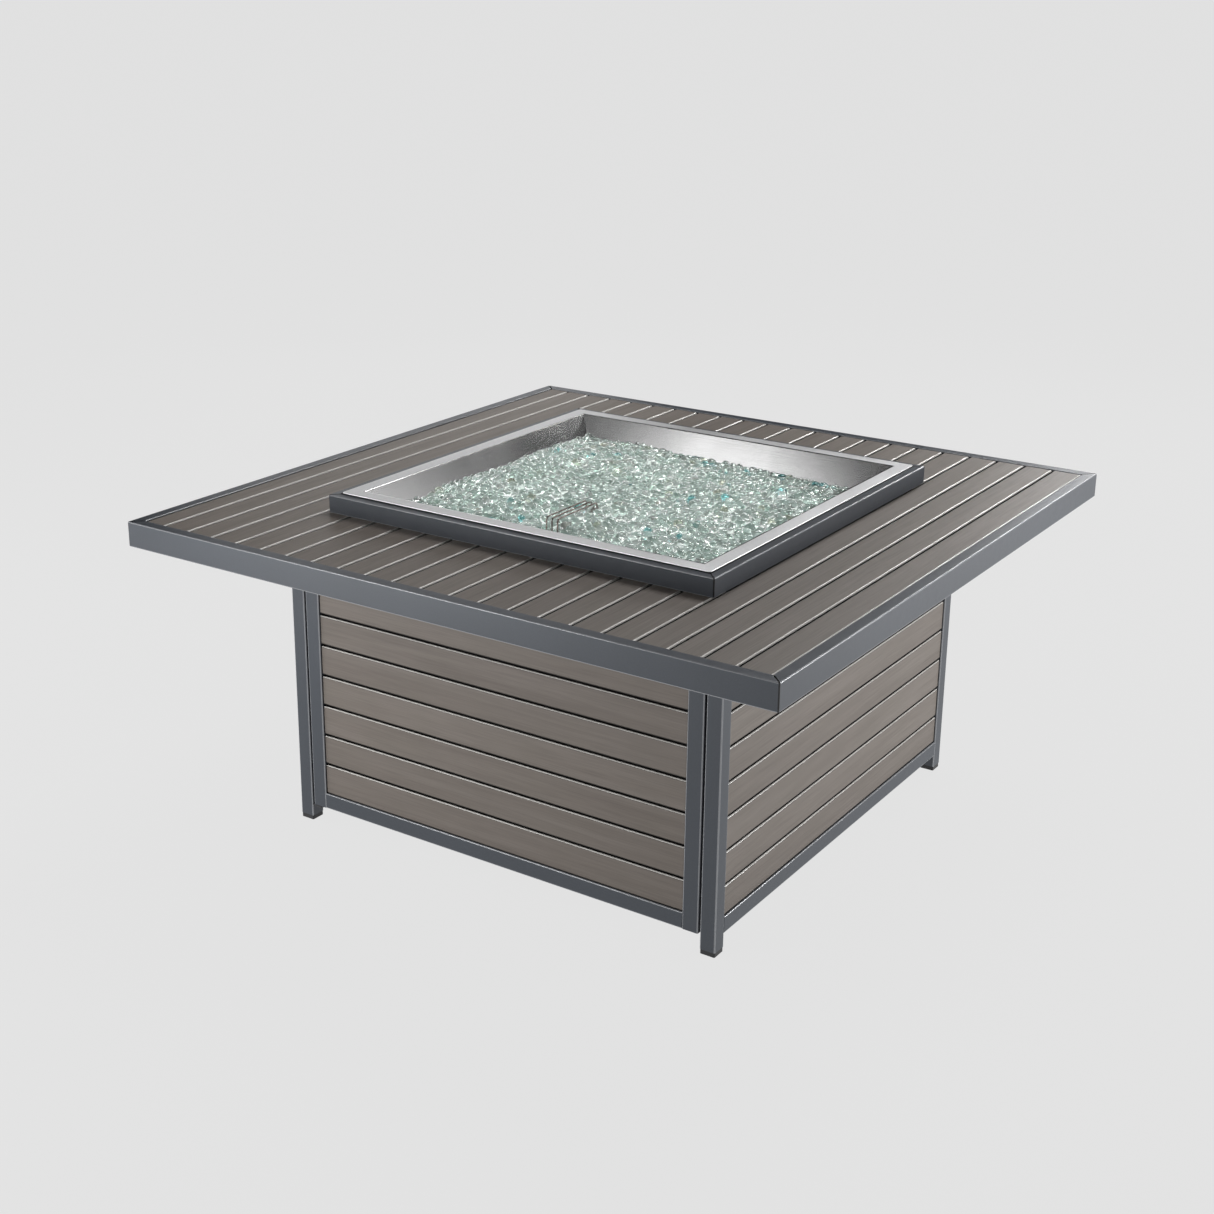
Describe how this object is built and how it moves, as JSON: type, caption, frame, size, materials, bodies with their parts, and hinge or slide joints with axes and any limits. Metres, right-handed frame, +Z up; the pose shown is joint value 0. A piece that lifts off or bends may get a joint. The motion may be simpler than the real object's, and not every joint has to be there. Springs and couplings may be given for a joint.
{
  "type": "fire pit table",
  "caption": "Square gas fire pit table with a slatted top, a raised frame round a drop-in pan of glass beads, and a slatted base with a hinged door.",
  "frame": {"origin": "on the floor under the centre of the table", "axes": "+Z up; the door faces -Y; +X to the right seen from the door side"},
  "size_m": [1.283, 1.283, 0.6265],
  "materials": {
    "graphite_coat": "satin graphite powder coat",
    "slat_finish": "taupe grained composite board",
    "pan_steel": "brushed stainless",
    "burner_steel": "plain stainless",
    "bead_glass": "clear pale aqua",
    "gasket_black": "matte black",
    "brass": "machined brass",
    "tube_aluminium": "drawn aluminium",
    "hidden_steel": "black painted steel",
    "black_plastic": "moulded black",
    "zinc_steel": "zinc plated"
  },
  "bodies": {
    "table": {"edge_rail_front": "graphite_coat", "curb_front": "graphite_coat", "top_slats_front": "slat_finish", "edge_rail_back": "graphite_coat", "curb_back": "graphite_coat", "top_slats_back": "slat_finish", "edge_rail_left": "graphite_coat", "curb_left": "graphite_coat", "top_slats_left": "slat_finish", "edge_rail_right": "graphite_coat", "curb_right": "graphite_coat", "top_slats_right": "slat_finish", "leg_front_left": "graphite_coat", "leg_front_right": "graphite_coat", "leg_back_left": "graphite_coat", "leg_back_right": "graphite_coat", "rail_front_top": "graphite_coat", "rail_back_top": "graphite_coat", "rail_back_bottom": "graphite_coat", "panel_slats_back": "slat_finish", "rail_left_top": "graphite_coat", "rail_left_bottom": "graphite_coat", "panel_slats_left": "slat_finish", "rail_right_top": "graphite_coat", "rail_right_bottom": "graphite_coat", "panel_slats_right": "slat_finish", "slat_ledges": "hidden_steel", "top_bearers": "hidden_steel", "pan_gasket": "gasket_black", "burner_pan": "pan_steel", "fire_glass": "bead_glass", "burner_ring": "burner_steel", "burner_feed": "burner_steel", "air_mixer": "brass", "gas_tube": "tube_aluminium", "pilot_bracket": "burner_steel", "pilot_hood": "burner_steel", "thermocouple": "burner_steel", "spark_electrode": "burner_steel", "pilot_guard": "burner_steel", "pilot_lines": "tube_aluminium", "gas_valve": "brass", "control_plate": "hidden_steel", "igniter_housing": "black_plastic", "gas_inlet": "brass", "foot_caps": "black_plastic", "panel_battens": "hidden_steel", "hinge_lug": "hidden_steel", "catch_magnet": "black_plastic"},
    "door": {"door_stile_left": "graphite_coat", "door_stile_right": "graphite_coat", "door_rail_top": "graphite_coat", "door_rail_bottom": "graphite_coat", "door_slats": "slat_finish", "door_battens": "hidden_steel", "hinge_pins": "zinc_steel", "catch_strike": "zinc_steel"},
    "stem": {"valve_stem": "burner_steel"},
    "knob": {"control_knob": "black_plastic"},
    "igniter": {"igniter_button": "black_plastic"}
  },
  "joints": [
    {"name": "door_swing", "type": "hinge", "parent": "table", "child": "door", "pos_m": [-0.4044, -0.437, 0.27], "axis": [0, 0, -1], "range_deg": [0, 100]},
    {"name": "stem_turn", "type": "hinge", "parent": "table", "child": "stem", "pos_m": [0.215, -0.382, 0.457], "axis": [0, 1, 0], "range_deg": [-180, 0]},
    {"name": "knob_push", "type": "slide", "parent": "stem", "child": "knob", "axis": [0, 1, 0], "range_m": [0, 0.003], "stiffness_N_per_m": 1500},
    {"name": "igniter_push", "type": "slide", "parent": "table", "child": "igniter", "axis": [0, 1, 0], "range_m": [0, 0.004], "stiffness_N_per_m": 1200}
  ]
}
